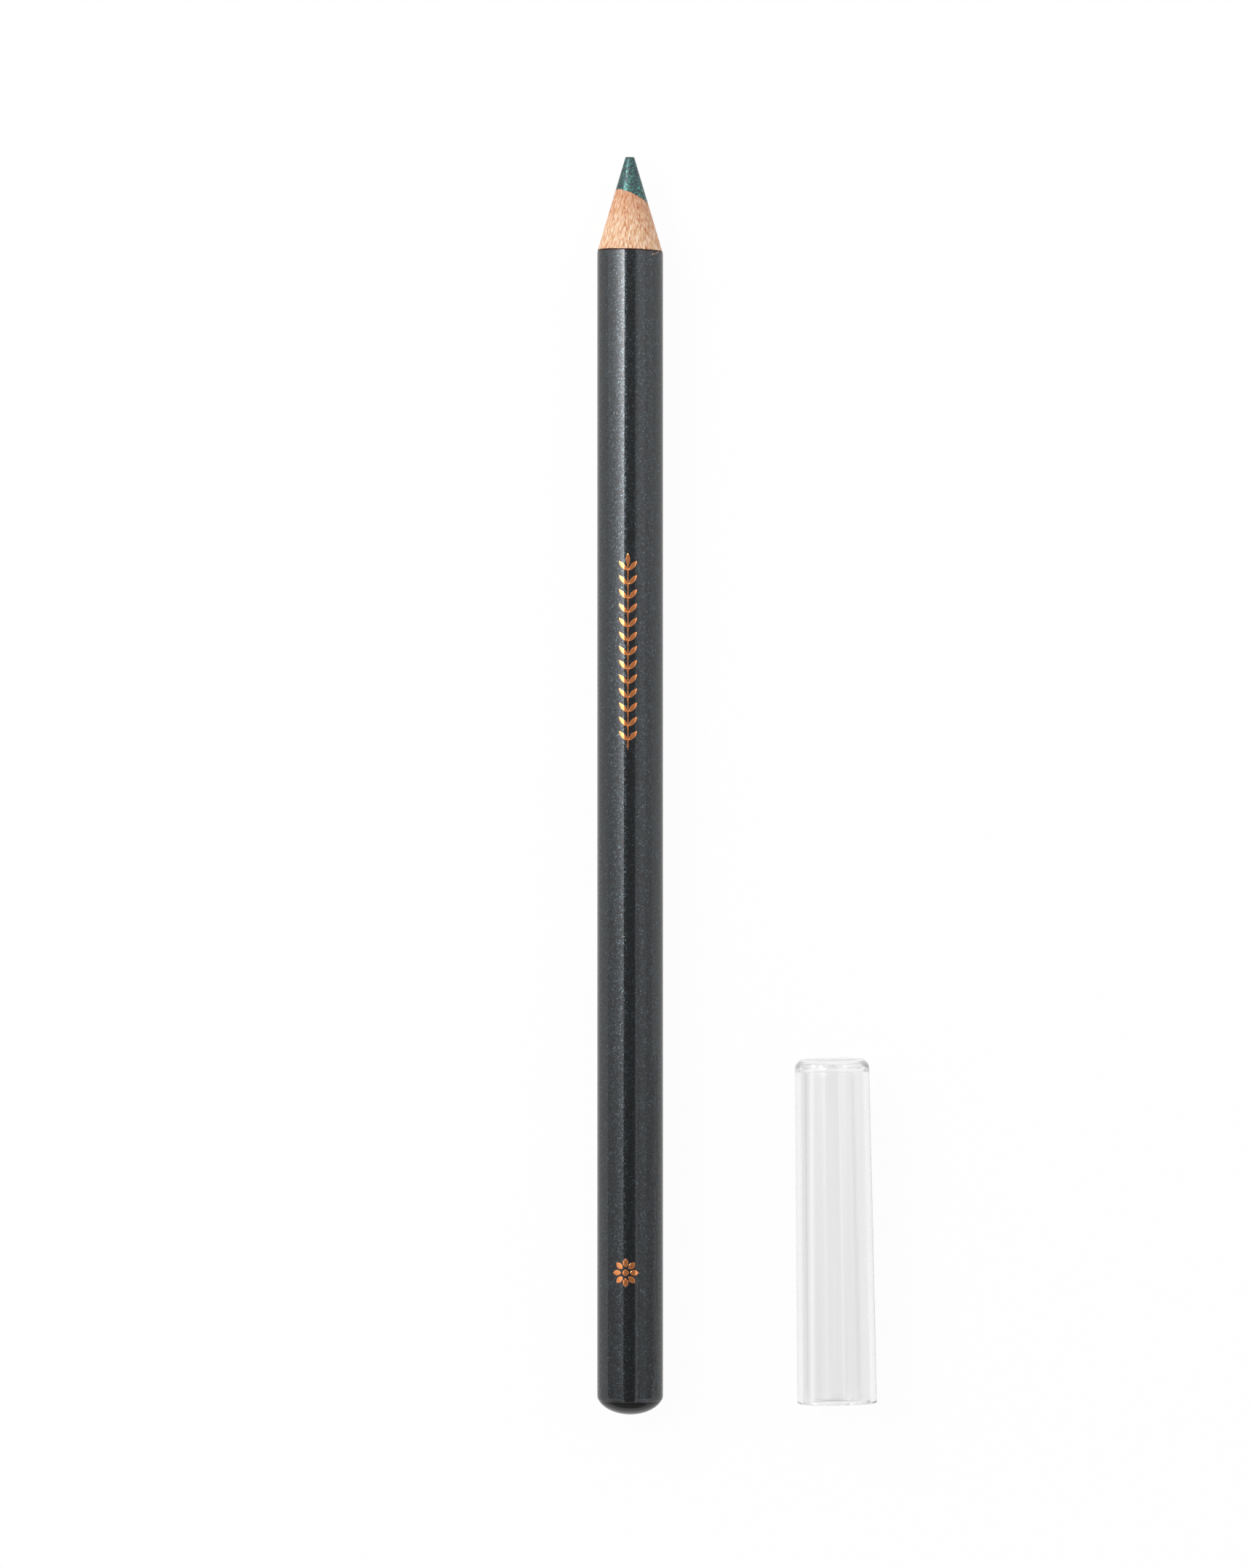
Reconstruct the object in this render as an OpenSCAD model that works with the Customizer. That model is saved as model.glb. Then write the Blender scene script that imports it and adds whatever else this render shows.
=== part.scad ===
// Eyeliner pencil, sharpened, with its clear cap taken off and lying beside it.
// Both lie on the plane z = 0. The pencil points along +Y, and the cap lies at +X.

/* [Barrel] */
// Length of the pencil from the crown of the dipped end to the tip
pencil_length = 137.4; // [100:0.2:180]
// Outer diameter of the lacquered barrel
barrel_d = 7.2; // [6.6:0.1:9.6]
// Thickness of the metallic lacquer
lacquer_t = 0.12; // [0.08:0.01:0.2]

/* [Core] */
// Diameter of the pigment core
core_d = 3.6; // [2.4:0.1:4.4]
// How far the core sits to the right of the barrel's axis
core_side = 0.2; // [-0.3:0.005:0.3]
// How far the core and the glue line sit below the barrel's axis
core_drop = 0.14; // [-0.3:0.005:0.3]
// Gap left between the core and its groove
core_gap = 0; // [0:0.01:0.05]

/* [Sharpened point] */
// Whole angle of the cone that the sharpener cuts
point_angle = 33.1; // [24:0.1:44]
// Diameter of the blunt tip
tip_d = 0.96; // [0.6:0.02:1.4]
// Rounding of the tip's edge
tip_edge_r = 0.1; // [0.05:0.01:0.2]

/* [Dipped end] */
// Rounding of the wood's tail edge
tail_edge_r = 1; // [0.8:0.05:1.4]
// Height of the glossy drop over the wood's flat end
drop_h = 1.1; // [0.8:0.05:1.6]
// How far the drop reaches up the rounded edge
drop_wrap = 0.45; // [0.1:0.01:0.6]
// Thickness of the drop where it ends on the rounded edge
drop_edge_t = 0.12; // [0.1:0.01:0.18]
// Height of the half ellipse that the drop's crown follows
drop_ellipse_h = 2.35; // [2:0.05:3.2]

/* [Cap] */
// Length of the cap
cap_length = 37.6; // [28:0.2:50]
// Outer diameter at the closed end
cap_end_d = 8.1; // [7.6:0.1:9]
// Outer diameter at the mouth
cap_mouth_d = 8.72; // [8.52:0.02:9.6]
// Thickness of the side wall
cap_wall = 0.64; // [0.5:0.02:0.9]
// Thickness of the closed end
cap_floor = 1; // [0.6:0.1:1.6]
// Outer rounding of the closed end
cap_corner_r = 1.1; // [0.6:0.1:1.6]
// Rounding between the inner wall and the closed end
cap_inner_r = 0.6; // [0.3:0.1:1]
// Rounding of the mouth's inner and outer edges
cap_rim_r = 0.15; // [0.08:0.01:0.22]

/* [Layout] */
// Gap between the pencil's side and the cap's closed end
cap_apart = 14.4; // [4:0.1:30]
// How far the cap's closed end lies from the pencil's tail end
cap_from_tail = 38.9; // [38.9:0.1:60]
// How far the cap's mouth swings away from the pencil, in degrees
cap_lean = 0.85; // [0:0.05:6]

/* [Hidden] */

$fn = 96;
// Steps in a small rounded edge, and along the drop's crown
edge_steps = 8;
crown_steps = 24;
// Spare length by which cutting shapes run past what they cut
past = 1;

barrel_r = barrel_d / 2;
wood_r = barrel_r - lacquer_t;
core_r = core_d / 2;
tip_r = tip_d / 2;
point_slope = tan(point_angle / 2);
// Length of the cone, up to where it meets the barrel's surface
point_length = (barrel_r - tip_r) / point_slope;

// The lacquer ends and the drop begins this far from the tail's crown
seam_z = drop_h + drop_wrap;
// Radius of the wood at the seam, and of the drop over it
wood_seam_r = rounded_r(wood_r, drop_h, tail_edge_r, seam_z);
drop_seam_r = wood_seam_r + drop_edge_t;
// Half width of the ellipse that passes through the seam
drop_ellipse_r = drop_seam_r / sqrt(1 - pow(1 - seam_z / drop_ellipse_h, 2));
crown_angle = acos(1 - seam_z / drop_ellipse_h);

// The cap's outer wall is a cone of this half angle
cap_end_r = cap_end_d / 2;
cap_slope = (cap_mouth_d - cap_end_d) / 2 / cap_length;
cap_taper = atan(cap_slope);
// Radius lost between the outer and the inner wall, at one height
cap_step = cap_wall / cos(cap_taper);

// How far the cap's rim reaches beyond the centre of its closed end, along X
cap_axis_x = sin(cap_lean) * cos(cap_taper);
rim_centre_r = cap_outer_r(cap_length - cap_rim_r) - cap_rim_r / cos(cap_taper);
cap_reach = (cap_length - cap_rim_r) * cap_axis_x + rim_centre_r * sqrt(1 - pow(cap_axis_x, 2)) + cap_rim_r;
cap_from_axis = barrel_r + cap_apart + cap_end_r;
// The origin is under the middle of the whole set
pencil_x = -(cap_from_axis + cap_reach - barrel_r) / 2;

// Radius at height z of a rod whose lower edge, at height z0, is rounded by edge
function rounded_r(r, z0, edge, z) =
    z > z0 + edge ? r : r - edge + sqrt(pow(edge, 2) - pow(z0 + edge - z, 2));

// Radius of the cap's outer wall at height z
function cap_outer_r(z) = cap_end_r + z * cap_slope;

// Points on an arc about centre, from angle a to angle b
function arc(centre, r, a, b) =
    [for (i = [0:edge_steps])
        let (t = a + (b - a) * i / edge_steps)
        centre + r * [cos(t), sin(t)]];

// Stands a shape modelled along Z on the pencil's axis, from the tail towards the tip
module on_pencil() {
    translate([pencil_x, -pencil_length / 2, barrel_r])
        rotate([-90, 0, 0])
            children();
}

// Lays the cap on its side, so that the whole length of its tapered wall touches the ground
module on_ground() {
    translate([
        pencil_x + cap_from_axis,
        cap_from_tail - pencil_length / 2,
        cap_end_r * cos(cap_taper)
    ])
        rotate([0, 0, cap_lean])
            rotate([90 - cap_taper, 0, 0])
                children();
}

// Everything that the sharpener leaves: a wide cylinder that ends in the cone and its blunt tip
module sharpener_space() {
    wide_r = barrel_r + past;
    cone_z = pencil_length - (wide_r - tip_r) / point_slope;
    half = point_angle / 2;
    tip_centre_r = tip_r - tip_edge_r * tan(45 - half / 2);
    rotate_extrude()
        polygon(concat(
            [[0, 0], [wide_r, 0], [wide_r, cone_z]],
            arc([tip_centre_r, pencil_length - tip_edge_r], tip_edge_r, half, 90),
            [[0, pencil_length]]
        ));
}

// A rod from height z0 up to the tip, with its lower edge rounded
module rounded_rod(r, z0, edge) {
    rotate_extrude()
        polygon(concat(
            [[0, z0]],
            arc([r - edge, z0 + edge], edge, -90, 0),
            [[r, pencil_length], [0, pencil_length]]
        ));
}

// The two slats glued together, before the core's groove is cut
module wood_blank() {
    intersection() {
        rounded_rod(wood_r, drop_h, tail_edge_r);
        sharpener_space();
    }
}

module core_rod(gap) {
    translate([core_side, core_drop, drop_h])
        cylinder(r = core_r + gap, h = pencil_length);
}

// One slat: side is -1 above the glue line and 1 below it
module wood_slat(side) {
    deep = barrel_d + past;
    difference() {
        intersection() {
            wood_blank();
            translate([-barrel_d, side < 0 ? core_drop - deep : core_drop, 0])
                cube([2 * barrel_d, deep, pencil_length]);
        }
        core_rod(core_gap);
    }
}

module upper_wood_slat() {
    color("burlywood")
        on_pencil()
            wood_slat(-1);
}

module lower_wood_slat() {
    color("tan")
        on_pencil()
            wood_slat(1);
}

module pigment_core() {
    color("darkslategray")
        on_pencil()
            intersection() {
                core_rod(0);
                sharpener_space();
            }
}

// A thin sleeve that the sharpener cuts to a knife edge and that follows the rounded tail
module lacquer_coat() {
    color("dimgray")
        on_pencil()
            difference() {
                intersection() {
                    rounded_rod(barrel_r, drop_h - lacquer_t, tail_edge_r + lacquer_t);
                    sharpener_space();
                    translate([0, 0, seam_z])
                        cylinder(r = barrel_r + past, h = pencil_length);
                }
                rounded_rod(wood_r, drop_h, tail_edge_r);
            }
}

// A drop of glossy lacquer, seated on the wood's flat end and its rounded edge
module dipped_end() {
    color("black")
        on_pencil()
            difference() {
                rotate_extrude()
                    polygon(concat(
                        [for (i = [0:crown_steps])
                            let (t = crown_angle * i / crown_steps)
                            [drop_ellipse_r * sin(t), drop_ellipse_h * (1 - cos(t))]],
                        [[0, seam_z]]
                    ));
                rounded_rod(wood_r, drop_h, tail_edge_r);
            }
}

// One moulded shell of even wall, wider at its mouth, with a thicker rounded closed end
module clear_cap() {
    t = cap_taper;
    foot_r = cap_outer_r(cap_corner_r) - cap_corner_r / cos(t);
    rim_z = cap_length - cap_rim_r;
    inner_rim_r = cap_outer_r(rim_z) - cap_step + cap_rim_r / cos(t);
    inner_z = cap_floor + cap_inner_r;
    inner_foot_r = cap_outer_r(inner_z) - cap_step - cap_inner_r / cos(t);
    color("lightcyan", 0.35)
        on_ground()
            rotate_extrude()
                polygon(concat(
                    [[0, 0]],
                    arc([foot_r, cap_corner_r], cap_corner_r, -90, -t),
                    arc([rim_centre_r, rim_z], cap_rim_r, -t, 90),
                    arc([inner_rim_r, rim_z], cap_rim_r, 90, 180 - t),
                    arc([inner_foot_r, inner_z], cap_inner_r, -t, -90),
                    [[0, cap_floor]]
                ));
}

upper_wood_slat();
lower_wood_slat();
pigment_core();
lacquer_coat();
dipped_end();
clear_cap();
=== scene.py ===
"""Eyeliner pencil, sharpened, with its clear cap taken off and lying beside it."""

import math

import bmesh
import bpy
import numpy as np
from mathutils import Matrix, Vector, noise


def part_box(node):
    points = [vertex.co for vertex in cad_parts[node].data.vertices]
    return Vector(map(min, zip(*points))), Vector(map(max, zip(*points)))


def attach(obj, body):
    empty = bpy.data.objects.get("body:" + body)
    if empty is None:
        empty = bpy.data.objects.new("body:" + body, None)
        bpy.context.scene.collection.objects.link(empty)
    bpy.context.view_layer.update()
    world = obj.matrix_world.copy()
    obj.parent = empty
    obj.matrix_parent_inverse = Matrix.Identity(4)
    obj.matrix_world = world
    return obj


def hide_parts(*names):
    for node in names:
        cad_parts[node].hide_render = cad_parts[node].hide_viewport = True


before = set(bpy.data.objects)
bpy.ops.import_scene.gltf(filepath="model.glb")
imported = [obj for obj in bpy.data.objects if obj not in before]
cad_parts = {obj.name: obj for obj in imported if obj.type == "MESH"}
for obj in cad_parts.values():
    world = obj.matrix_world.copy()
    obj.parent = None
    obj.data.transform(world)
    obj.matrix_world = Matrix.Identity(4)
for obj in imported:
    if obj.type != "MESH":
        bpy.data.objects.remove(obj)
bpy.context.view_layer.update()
bpy.context.scene.view_settings.view_transform = "Standard"


# Wood slats
# Two half-round slats of pale cedar, each grooved for the core. They are glued together
# round it and turned to a rod, and the sharpener cuts them to one cone with the core and the lacquer.
mm = 0.001
core_low, core_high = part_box("pigment_core")
coat_low, coat_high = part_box("lacquer_coat")
axis_x = (coat_low.x + coat_high.x) / 2
axis_z = (coat_low.z + coat_high.z) / 2
barrel_r = (coat_high.x - coat_low.x) / 2
lacquer_t = 0.12 * mm
wood_r = barrel_r - lacquer_t
wood_end_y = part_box("upper_wood_slat")[0].y
tail_edge_r = 1 * mm
tail_edge_y = wood_end_y + tail_edge_r
core_r = (core_high.x - core_low.x) / 2
core_x = (core_low.x + core_high.x) / 2 - axis_x
core_z = (core_low.z + core_high.z) / 2 - axis_z

# The cone's half angle in degrees, its blunt tip, and how far the blade cut to one side.
half_point = 33.1 / 2
cone_slope = math.tan(math.radians(half_point))
tip_y = core_high.y
tip_r = 0.48 * mm
blade_x = -0.03 * mm

# The straight walls end this far below the cone, clear of its ragged core edge and wavy knife edge.
below_core_edge = 1.5 * mm
below_knife_edge = 0.3 * mm

# A slat's outline has two points in the groove, and then steps on the cone and round the tail edge.
groove_points = 2
cone_steps = 48
tail_steps = 8
half_turn_steps = 240


def colour(hex_text):
    """A colour as it is seen, turned to the linear one that Blender works with."""
    parts = [int(hex_text[i:i + 2], 16) / 255 for i in (1, 3, 5)]
    return (*[c / 12.92 if c <= 0.04045 else ((c + 0.055) / 1.055) ** 2.4 for c in parts], 1)


def add_node(tree, kind, inputs=None, stops=None, **settings):
    """One node with its settings, and with each input given a value or linked to a socket."""
    made = tree.nodes.new(kind)
    for key, value in settings.items():
        setattr(made, key, value)
    for key, value in (inputs or {}).items():
        if isinstance(value, bpy.types.NodeSocket):
            tree.links.new(value, made.inputs[key])
        else:
            made.inputs[key].default_value = value
    if stops:
        ramp = made.color_ramp.elements
        while len(ramp) < len(stops):
            ramp.new(0.5)
        for element, (place, shade) in zip(ramp, stops):
            element.position = place
            element.color = shade
    return made


def new_material(name, **values):
    """A material with its tree and its main shader, whose plain values are set by name."""
    material = bpy.data.materials.new(name)
    material.use_nodes = True
    shader = material.node_tree.nodes["Principled BSDF"]
    for key, value in values.items():
        shader.inputs[key.replace("_", " ")].default_value = value
    return material, material.node_tree, shader


def loop_mesh(name, loops, ring=False):
    """Joins equal loops of points into a closed skin. The end loops are filled, or meet as a ring."""
    loops = np.array(loops, float)
    count, size = loops.shape[:2]
    faces = []
    for i in range(count if ring else count - 1):
        a, b = i * size, (i + 1) % count * size
        faces += [(a + k, a + (k + 1) % size, b + (k + 1) % size, b + k) for k in range(size)]
    if not ring:
        faces += [tuple(range(size))[::-1], tuple(range((count - 1) * size, count * size))]
    mesh = bpy.data.meshes.new(name)
    mesh.from_pydata(loops.reshape(-1, 3), [], faces)
    return mesh


def finish_mesh(mesh, material, sharp=35):
    """Turns the faces outwards, shades them smooth up to a sharp angle, and gives the finish."""
    work = bmesh.new()
    work.from_mesh(mesh)
    bmesh.ops.recalc_face_normals(work, faces=work.faces)
    work.to_mesh(mesh)
    work.free()
    mesh.shade_smooth()
    mesh.set_sharp_from_angle(angle=math.radians(sharp))
    mesh.materials.clear()
    mesh.materials.append(material)


def place_piece(name, mesh, node=None):
    """Puts a finished mesh in the scene, and over its CAD node if it has one."""
    piece = bpy.data.objects.new(name, mesh)
    bpy.context.scene.collection.objects.link(piece)
    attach(piece, "root")
    if node:
        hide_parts(node)
    return piece


def cone_y(radius, angle=0, off=0):
    """Where the sharpener's cone lies, at a distance and an angle round the pencil's axis."""
    from_blade = math.hypot(radius * math.cos(angle) - off, radius * math.sin(angle))
    return tip_y - (from_blade - tip_r) / cone_slope


def wander(angle, waves, seed):
    """A smooth uneven value round the pencil, between about -1 and 1, that closes on itself."""
    spot = Vector((math.cos(angle) * waves, math.sin(angle) * waves, seed))
    return noise.noise(spot) + 0.6 * noise.noise(spot * 2.3)


def core_edge_r(angle):
    """Radius of the ragged edge that the blade leaves between the core and the wood."""
    coarse = 0.028 * mm * wander(angle, waves=7, seed=3.1)
    fine = 0.012 * mm * wander(angle, waves=19, seed=8.4)
    return core_r + coarse + fine


def knife_edge_r(angle):
    """Radius of the wavy knife edge where the lacquer thins out on the wood."""
    return wood_r + 0.045 * mm + 0.012 * mm * wander(angle, waves=9, seed=5.7)


def tail_point(turn):
    """Radius and place of a point on the wood's rounded tail edge, turned from its side to its end."""
    return wood_r - tail_edge_r * (1 - math.cos(turn)), tail_edge_y - tail_edge_r * math.sin(turn)


def reach(angle, radius):
    """Distance from the core's centre to a circle round the pencil's axis."""
    along = core_x * math.cos(angle) + core_z * math.sin(angle)
    return -along + math.sqrt(along ** 2 - core_x ** 2 - core_z ** 2 + radius ** 2)


def slat_loop(angle):
    """The slat's outline in one plane through the core's centre line."""
    across = Vector((math.cos(angle), math.sin(angle)))
    outer = reach(angle, wood_r)
    spot = Vector((core_x, core_z)) + across * outer
    outer_top = reach(angle, knife_edge_r(math.atan2(spot.y, spot.x)))
    steps = [(core_r, wood_end_y), (core_r, cone_y(core_r) - below_core_edge)]
    for s in np.linspace(core_edge_r(angle), outer_top, cone_steps + 1):
        spot = Vector((core_x, core_z)) + across * s
        steps.append((s, cone_y(spot.length, math.atan2(spot.y, spot.x), blade_x)))
    steps += [(outer, cone_y(wood_r) - below_knife_edge), (outer, tail_edge_y)]
    for turn in np.radians(np.linspace(90 / tail_steps, 90, tail_steps)):
        r, y = tail_point(turn)
        steps.append((reach(angle, r), y))
    return [(axis_x + core_x + across.x * s, y, axis_z + core_z + across.y * s) for s, y in steps]


# Sharpened cedar. Long pale fibres with short reddish flecks make it warm and matt, the growth rings
# show as faint arches where the cone cuts them, and wax from the core has soaked in beside it. Real
# fibres are 0.03 mm wide, too fine to show, so they are drawn in bundles.
fibre_width = 0.12 * mm
fleck_width = 0.13 * mm
patch_width = 0.7 * mm
ring_spacing = 0.47 * mm
ring_lean = math.radians(39)
fur_depth = 0.02 * mm
cut_wood, tree, shader = new_material("Sharpened_cedar", Roughness=0.62, IOR=1.45)
place = add_node(tree, "ShaderNodeTexCoord").outputs["Object"]
centred = add_node(tree, "ShaderNodeVectorMath", {
    0: place, 1: (-axis_x, 0, -axis_z)}, operation="ADD").outputs[0]

# The pattern narrows towards the axis, so that its fibres fan out down the cone. Along the pencil it is
# drawn out about six times.
fan_r = 2 * mm
fan_power = -0.65
draw_out = 0.16
across = add_node(tree, "ShaderNodeVectorMath", {0: centred, 1: (1, 0, 1)}, operation="MULTIPLY").outputs[0]
out = add_node(tree, "ShaderNodeVectorMath", {0: across}, operation="LENGTH").outputs["Value"]
from_middle = add_node(tree, "ShaderNodeMath", {0: out, 1: 1 / fan_r}, operation="MULTIPLY").outputs[0]
fan = add_node(tree, "ShaderNodeMath", {0: from_middle, 1: fan_power}, operation="POWER").outputs[0]
spread = add_node(tree, "ShaderNodeVectorMath", {0: across, "Scale": fan}, operation="SCALE").outputs[0]
lengthwise = add_node(tree, "ShaderNodeVectorMath", {
    0: centred, 1: (0, draw_out, 0), 2: spread}, operation="MULTIPLY_ADD").outputs[0]

fibres = add_node(tree, "ShaderNodeTexNoise", {
    "Vector": lengthwise, "Scale": 1 / fibre_width, "Detail": 2, "Roughness": 0.7})
grain = add_node(tree, "ShaderNodeValToRGB", {"Fac": fibres.outputs["Fac"]}, stops=[
    (0.34, colour("#C99268")), (0.45, colour("#DEB38C")),
    (0.55, colour("#E9C8A6")), (0.66, colour("#F6E6D6"))])
flecks = add_node(tree, "ShaderNodeTexVoronoi", {"Vector": lengthwise, "Scale": 1 / fleck_width})
fleck_depth = add_node(tree, "ShaderNodeValToRGB", {"Fac": flecks.outputs["Distance"]}, stops=[
    (0.22, (1, 1, 1, 1)), (0.46, (0, 0, 0, 1))])
patches = add_node(tree, "ShaderNodeTexNoise", {"Vector": lengthwise, "Scale": 1 / patch_width, "Detail": 2})
patch_depth = add_node(tree, "ShaderNodeMapRange", {
    "Value": patches.outputs["Fac"], "From Min": 0.38, "From Max": 0.62, "To Min": 0.1, "To Max": 1})
fleck_share = add_node(tree, "ShaderNodeMath", {
    0: fleck_depth.outputs["Color"], 1: patch_depth.outputs[0]}, operation="MULTIPLY")
ring_way = (math.sin(ring_lean) / ring_spacing, 0, math.cos(ring_lean) / ring_spacing)
ring_place = add_node(tree, "ShaderNodeVectorMath", {0: centred, 1: ring_way}, operation="DOT_PRODUCT")
ring_wave = add_node(tree, "ShaderNodeMath", {
    0: patches.outputs["Fac"], 1: 0.8, 2: ring_place.outputs["Value"]}, operation="MULTIPLY_ADD")
ring_part = add_node(tree, "ShaderNodeMath", {0: ring_wave.outputs[0]}, operation="FRACT")
ring_depth = add_node(tree, "ShaderNodeValToRGB", {"Fac": ring_part.outputs[0]}, stops=[
    (0.0, (0.12, 0.12, 0.12, 1)), (0.62, (0, 0, 0, 1)),
    (0.86, (0.5, 0.5, 0.5, 1)), (1.0, (0.1, 0.1, 0.1, 1))])
ringed = add_node(tree, "ShaderNodeMix", {
    "Factor": ring_depth.outputs["Color"], 6: grain.outputs["Color"], 7: colour("#BC7C54")}, data_type="RGBA")

# The stains beside the core and beside the lacquer reach as many millimetres as their "From Max" says.
near_core = add_node(tree, "ShaderNodeAttribute", attribute_name="from_core")
wax_soak = add_node(tree, "ShaderNodeMapRange", {
    "Value": near_core.outputs["Fac"], "From Min": 0, "From Max": 4.5, "To Min": 0.5, "To Max": 0})
waxed = add_node(tree, "ShaderNodeMix", {
    "Factor": wax_soak.outputs[0], 6: ringed.outputs[2], 7: colour("#B46A42")}, data_type="RGBA")
flecked = add_node(tree, "ShaderNodeMix", {
    "Factor": fleck_share.outputs[0], 6: waxed.outputs[2], 7: colour("#B25824")}, data_type="RGBA")
core_stain = add_node(tree, "ShaderNodeMapRange", {
    "Value": near_core.outputs["Fac"], "From Min": 0, "From Max": 0.07, "To Min": 0.75, "To Max": 0})
stained = add_node(tree, "ShaderNodeMix", {
    "Factor": core_stain.outputs[0], 6: flecked.outputs[2], 7: colour("#7D6F5C")}, data_type="RGBA")
near_coat = add_node(tree, "ShaderNodeAttribute", attribute_name="from_lacquer")
coat_stain = add_node(tree, "ShaderNodeMapRange", {
    "Value": near_coat.outputs["Fac"], "From Min": 0.01, "From Max": 0.08, "To Min": 0.95, "To Max": 0})
edged = add_node(tree, "ShaderNodeMix", {
    "Factor": coat_stain.outputs[0], 6: stained.outputs[2], 7: colour("#5C2C20")}, data_type="RGBA")
tree.links.new(edged.outputs[2], shader.inputs["Base Color"])
fur = add_node(tree, "ShaderNodeBump", {
    "Height": fibres.outputs["Fac"], "Strength": 0.35, "Distance": fur_depth})
tree.links.new(fur.outputs[0], shader.inputs["Normal"])

# Each slat keeps, in millimetres along the cone, how far every point is from the core and the lacquer.
cone_last = groove_points + cone_steps
for name, first in (("upper_wood_slat", 0), ("lower_wood_slat", math.pi)):
    loops = [slat_loop(a) for a in first + np.linspace(0, math.pi, half_turn_steps + 1)]
    mesh = loop_mesh(name, loops)
    down = np.clip((np.arange(len(loops[0])) - groove_points) / cone_steps, 0, 1)
    slants = [np.linalg.norm(np.subtract(l[groove_points], l[cone_last])) for l in loops]
    length = np.array(slants)[:, None] / mm
    for label, share in (("from_core", down), ("from_lacquer", 1 - down)):
        mesh.attributes.new(label, "FLOAT", "POINT").data.foreach_set("value", (length * share).ravel())
    finish_mesh(mesh, cut_wood)
    place_piece(name.replace("slat", "half"), mesh, name)


# Pigment core
# A soft stick of wax, pearl and green pigment, cast and laid in the slats' groove. It sits a little off
# the middle, so the blade leaves its edge lower on one side, and its worn end is blunt.
tip_edge_r = 0.1 * mm
flat_r = tip_r - tip_edge_r * math.tan(math.pi / 4 - math.radians(half_point / 2))
cone_top_r = flat_r + tip_edge_r * math.cos(math.radians(half_point))
wear_depth = 0.02 * mm
wear_size = 0.35 * mm

# Two rings stand on the straight stick, and the rest follow the cone, the tip's round edge and its flat.
stick_rings = 2
worn_from = 30
cone_end = 42
edge_end = 48
ring_count = 52
turn_steps = 360


def core_ring(step):
    """One ring round the core: up the stick, over its ragged edge, along the cone and on to the tip."""
    ring = []
    for a in np.linspace(0, 2 * math.pi, turn_steps + 1)[:-1]:
        edge = Vector((core_x + core_edge_r(a) * math.cos(a), core_z + core_edge_r(a) * math.sin(a)))
        if step < stick_rings:
            spot = Vector((core_x + core_r * math.cos(a), core_z + core_r * math.sin(a)))
            y = (wood_end_y, cone_y(core_r) - below_core_edge)[step]
        elif step <= cone_end:
            tip = Vector((blade_x, 0)) + edge.normalized() * cone_top_r
            spot = edge.lerp(tip, (step - stick_rings) / (cone_end - stick_rings))
            y = cone_y(spot.length, math.atan2(spot.y, spot.x), blade_x)
        else:
            rounded = min(step, edge_end) - cone_end
            turn = math.radians(half_point + (90 - half_point) * rounded / (edge_end - cone_end))
            r = flat_r + tip_edge_r * math.cos(turn)
            if step > edge_end:
                r = flat_r * (ring_count - step) / (ring_count - edge_end)
            spot = Vector((blade_x, 0)) + edge.normalized() * r
            y = tip_y - tip_edge_r * (1 - math.sin(turn))
        if step > worn_from:
            wear = abs(wear_depth * noise.noise(Vector((spot.x, y, spot.y)) / wear_size))
            y -= wear * min((step - worn_from) / (cone_end - worn_from), 1)
        ring.append((axis_x + spot.x, y, axis_z + spot.y))
    return ring


def lean_flakes(tree, flakes, lean):
    """A surface normal that leans its own way in each flake, by up to half of what is given."""
    tilt = add_node(tree, "ShaderNodeVectorMath", {
        0: flakes.outputs["Color"], 1: (0.5, 0.5, 0.5)}, operation="SUBTRACT")
    facing = add_node(tree, "ShaderNodeNewGeometry").outputs["Normal"]
    leaning = add_node(tree, "ShaderNodeVectorMath", {
        0: tilt.outputs[0], 1: (lean, lean, lean), 2: facing}, operation="MULTIPLY_ADD")
    return add_node(tree, "ShaderNodeVectorMath", {0: leaning.outputs[0]}, operation="NORMALIZE").outputs[0]


# Pearl pigment in wax. Fine mica flakes lie at all tilts, so it glitters mint green towards the light
# and turns slate grey away from it. Real flakes are 0.02 mm across, too fine to show, and drawn coarser.
mica_size = 0.15 * mm
pearl_core, tree, shader = new_material("Pearl_green_wax_pigment", Metallic=1, Roughness=0.4)
place = add_node(tree, "ShaderNodeTexCoord").outputs["Object"]
mica = add_node(tree, "ShaderNodeTexVoronoi", {"Vector": place, "Scale": 1 / mica_size})
mica_tint = add_node(tree, "ShaderNodeSeparateColor", {0: mica.outputs["Color"]})
shade = add_node(tree, "ShaderNodeValToRGB", {"Fac": mica_tint.outputs[0]}, stops=[
    (0.0, colour("#454C52")), (0.5, colour("#4B5B5E")), (0.8, colour("#50746F")), (1.0, colour("#62A08F"))])
tree.links.new(shade.outputs["Color"], shader.inputs["Base Color"])
tree.links.new(lean_flakes(tree, mica, lean=0.05), shader.inputs["Normal"])

mesh = loop_mesh("core_stick", [core_ring(step) for step in range(ring_count)])
finish_mesh(mesh, pearl_core, sharp=40)
place_piece("core_stick", mesh, "pigment_core")


# Lacquer coat
# Several thin coats of metallic lacquer, sprayed on the glued rod as it spins. The sharpener cuts them
# to a bevel that ends in a knife edge, and at the tail they turn in over the rounded end.
seam_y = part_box("dipped_end")[1].y
coat_edge_r = tail_edge_r + barrel_r - wood_r
tuck_out = math.asin((tail_edge_y - seam_y) / coat_edge_r)
tuck_in = math.asin((tail_edge_y - seam_y) / tail_edge_r)

# Four points cross the bevel. The first two, next to the wood, show the coat's bare primer.
bevel_shares = np.array((0, 0.45, 0.55, 1))
bare_points = 2
shoulder_wear = 0.008 * mm
shoulder_drop = 0.05 * mm
barrel_start = 0.4 * mm
barrel_points = 60


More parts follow.
